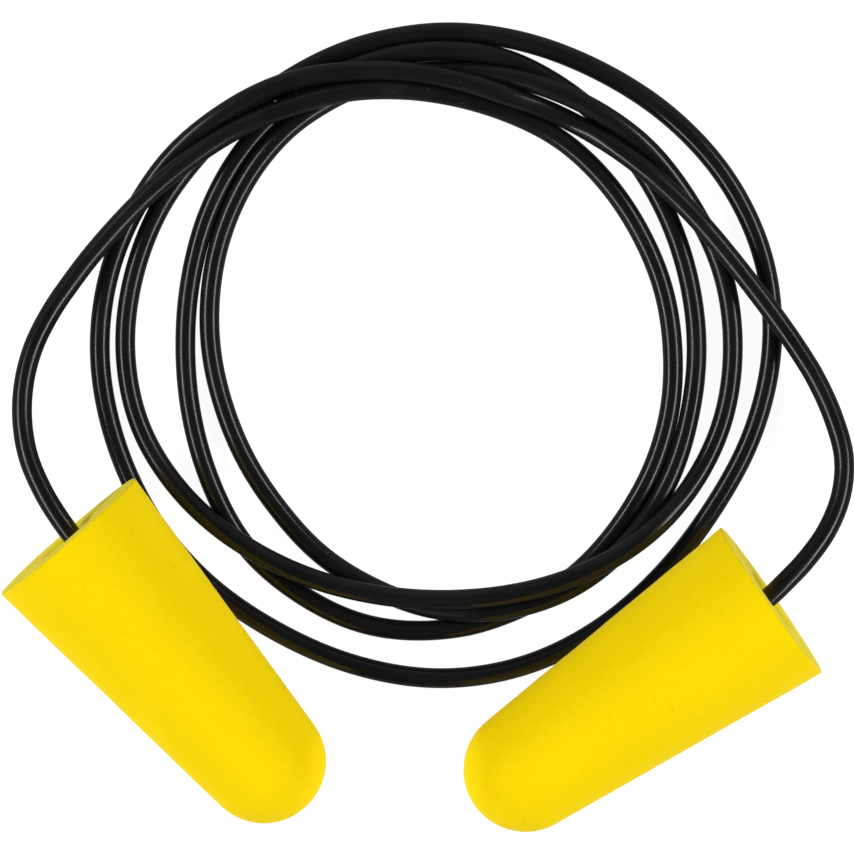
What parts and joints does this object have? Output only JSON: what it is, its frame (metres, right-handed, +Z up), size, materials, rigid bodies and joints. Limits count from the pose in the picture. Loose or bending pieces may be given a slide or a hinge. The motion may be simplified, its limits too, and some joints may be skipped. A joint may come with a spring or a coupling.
{
  "type": "corded foam ear plugs",
  "caption": "Pair of tapered soft foam ear plugs with round tips, joined by one long round cord that lies in a loose ring.",
  "frame": {"origin": "on the floor under the middle of the box that the two plugs fill, without the cord", "axes": "+X from the left plug towards the right plug, +Y from the plugs' tips towards the ring of cord, +Z up"},
  "size_m": [0.0628, 0.0611, 0.0129],
  "materials": {
    "foam": "soft slow-recovery foam with a smooth, matt, finely grained skin",
    "cord": "soft plastic cord, black, semi-gloss",
    "adhesive": "cured clear-yellow adhesive"
  },
  "bodies": {
    "cord_ring": {"cord_coil": "cord"},
    "left_plug": {"foam_plug_left": "foam", "cord_adhesive_left": "adhesive", "cord_tail_left": "cord"},
    "right_plug": {"foam_plug_right": "foam", "cord_adhesive_right": "adhesive", "cord_tail_right": "cord"}
  },
  "joints": [
    {"name": "left_plug_swing", "type": "hinge", "parent": "cord_ring", "child": "left_plug", "pos_m": [-0.0235, 0.03, 0.00245], "axis": [0, 0, -1], "range_deg": [0, 30]},
    {"name": "right_plug_swing", "type": "hinge", "parent": "cord_ring", "child": "right_plug", "pos_m": [0.0285, 0.023, 0.0024], "axis": [0, 0, 1], "range_deg": [0, 30]}
  ]
}
